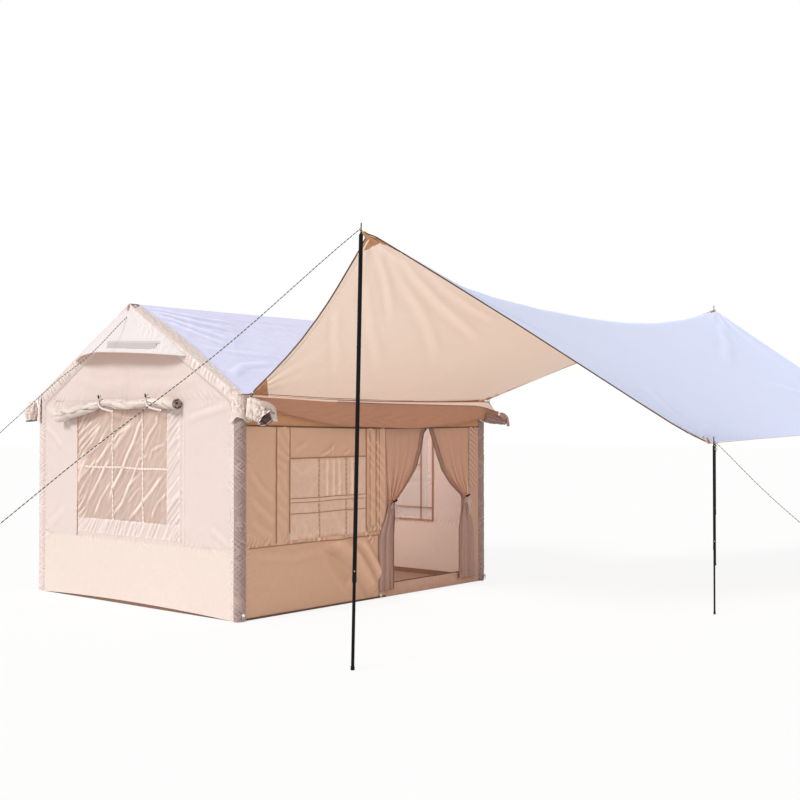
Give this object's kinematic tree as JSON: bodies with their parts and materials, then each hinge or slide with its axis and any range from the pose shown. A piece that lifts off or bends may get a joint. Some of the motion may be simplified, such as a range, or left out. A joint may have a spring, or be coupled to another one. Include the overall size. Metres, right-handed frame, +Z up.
{
  "type": "inflatable tent",
  "caption": "Inflatable ridge tent with cloth walls, net windows, tied-back door and a canopy held out on poles and guy ropes.",
  "frame": {"origin": "middle of the tent's floor, on the ground, at the groundsheet's underside", "axes": "+X along the front wall and the ridge, +Y from the front wall into the tent, +Z up"},
  "size_m": [9.9892, 7.1157, 2.8602],
  "materials": {
    "sleeve": "matt coated cloth round the air tubes",
    "film": "thin milky film",
    "roof": "pale coated cloth",
    "wall": "sand-coloured cloth",
    "gable": "sand-coloured cloth",
    "net": "fine insect net",
    "bundle": "gathered sand-coloured cloth",
    "flap": "sand-coloured cloth in shade",
    "canopy": "pale cloth, sand-coloured below",
    "floor": "coated groundsheet",
    "valve": "matt moulded plastic",
    "pole": "black paint",
    "rope": "braided cord",
    "runner": "matt moulded plastic",
    "peg": "black paint",
    "zip": "black paint"
  },
  "bodies": {
    "tent": {"arch_sleeve_left": "sleeve", "arch_sleeve_right": "sleeve", "ridge_sleeve": "sleeve", "front_eave_sleeve": "sleeve", "back_eave_sleeve": "sleeve", "arch_bladder_left": "film", "arch_bladder_right": "film", "ridge_bladder": "film", "front_eave_bladder": "film", "back_eave_bladder": "film", "valve_body": "valve", "gable_wall_left": "gable", "gable_wall_right": "gable", "gable_window_left": "net", "gable_window_right": "net", "gable_roll_left": "bundle", "gable_roll_right": "bundle", "vent_hood_left": "gable", "vent_hood_right": "gable", "front_window_wall": "wall", "front_header": "wall", "door_side_strip": "wall", "door_sill": "wall", "front_window": "net", "door_curtain_left": "wall", "door_curtain_right": "wall", "back_wall": "wall", "back_window": "net", "back_roll": "bundle", "roof_front": "roof", "roof_back": "roof", "groundsheet": "floor", "corner_bundle_front_left": "bundle", "corner_bundle_front_right": "bundle", "corner_bundle_back_left": "bundle", "corner_bundle_back_right": "bundle", "canopy": "canopy", "eave_flap": "flap", "near_tall_pole_upper": "pole", "far_tall_pole_upper": "pole", "near_low_pole_upper": "pole", "far_low_pole_upper": "pole", "guy_rope_near_tall": "rope", "ground_peg_near_tall": "peg", "guy_rope_near_low": "rope", "ground_peg_near_low": "peg", "guy_rope_gable": "rope", "ground_peg_gable": "peg"},
    "button": {"valve_button": "valve"},
    "cap": {"valve_cap": "valve"},
    "near_tall_foot": {"near_tall_pole_foot": "pole"},
    "far_tall_foot": {"far_tall_pole_foot": "pole"},
    "near_low_foot": {"near_low_pole_foot": "pole"},
    "far_low_foot": {"far_low_pole_foot": "pole"},
    "near_tall_runner": {"rope_runner_near_tall": "runner"},
    "near_low_runner": {"rope_runner_near_low": "runner"},
    "gable_runner": {"rope_runner_gable": "runner"},
    "left_slider": {"zip_slider_left": "zip"},
    "right_slider": {"zip_slider_right": "zip"}
  },
  "joints": [
    {"name": "near_tall_foot_slide", "type": "slide", "parent": "tent", "child": "near_tall_foot", "axis": [0.0121, -0.0143, 0.9998], "range_m": [0, 0.4]},
    {"name": "far_tall_foot_slide", "type": "slide", "parent": "tent", "child": "far_tall_foot", "axis": [0, 0, 1], "range_m": [0, 0.4]},
    {"name": "near_low_foot_slide", "type": "slide", "parent": "tent", "child": "near_low_foot", "axis": [0, 0, 1], "range_m": [0, 0.4]},
    {"name": "far_low_foot_slide", "type": "slide", "parent": "tent", "child": "far_low_foot", "axis": [0, 0, 1], "range_m": [0, 0.4]},
    {"name": "near_tall_runner_slide", "type": "slide", "parent": "tent", "child": "near_tall_runner", "axis": [-0.7118, 0.3026, -0.6338], "range_m": [-0.25, 0.25]},
    {"name": "near_low_runner_slide", "type": "slide", "parent": "tent", "child": "near_low_runner", "axis": [0.1576, -0.7086, -0.6878], "range_m": [-0.25, 0.25]},
    {"name": "gable_runner_slide", "type": "slide", "parent": "tent", "child": "gable_runner", "axis": [-0.7068, 0.1944, -0.6802], "range_m": [-0.25, 0.25]},
    {"name": "valve_cap_hinge", "type": "hinge", "parent": "tent", "child": "cap", "pos_m": [-1.5254, 1.34, 0.372], "axis": [0, -1, 0], "range_deg": [0, 90]},
    {"name": "valve_button_press", "type": "slide", "parent": "tent", "child": "button", "axis": [-1, 0, 0], "range_m": [0, 0.004], "stiffness_N_per_m": 400, "springref_m": -0.002},
    {"name": "left_zip_slide", "type": "slide", "parent": "tent", "child": "left_slider", "axis": [0, 0, 1], "range_m": [0, 0.58]},
    {"name": "right_zip_slide", "type": "slide", "parent": "tent", "child": "right_slider", "axis": [0, 0, 1], "range_m": [0, 0.58]}
  ]
}
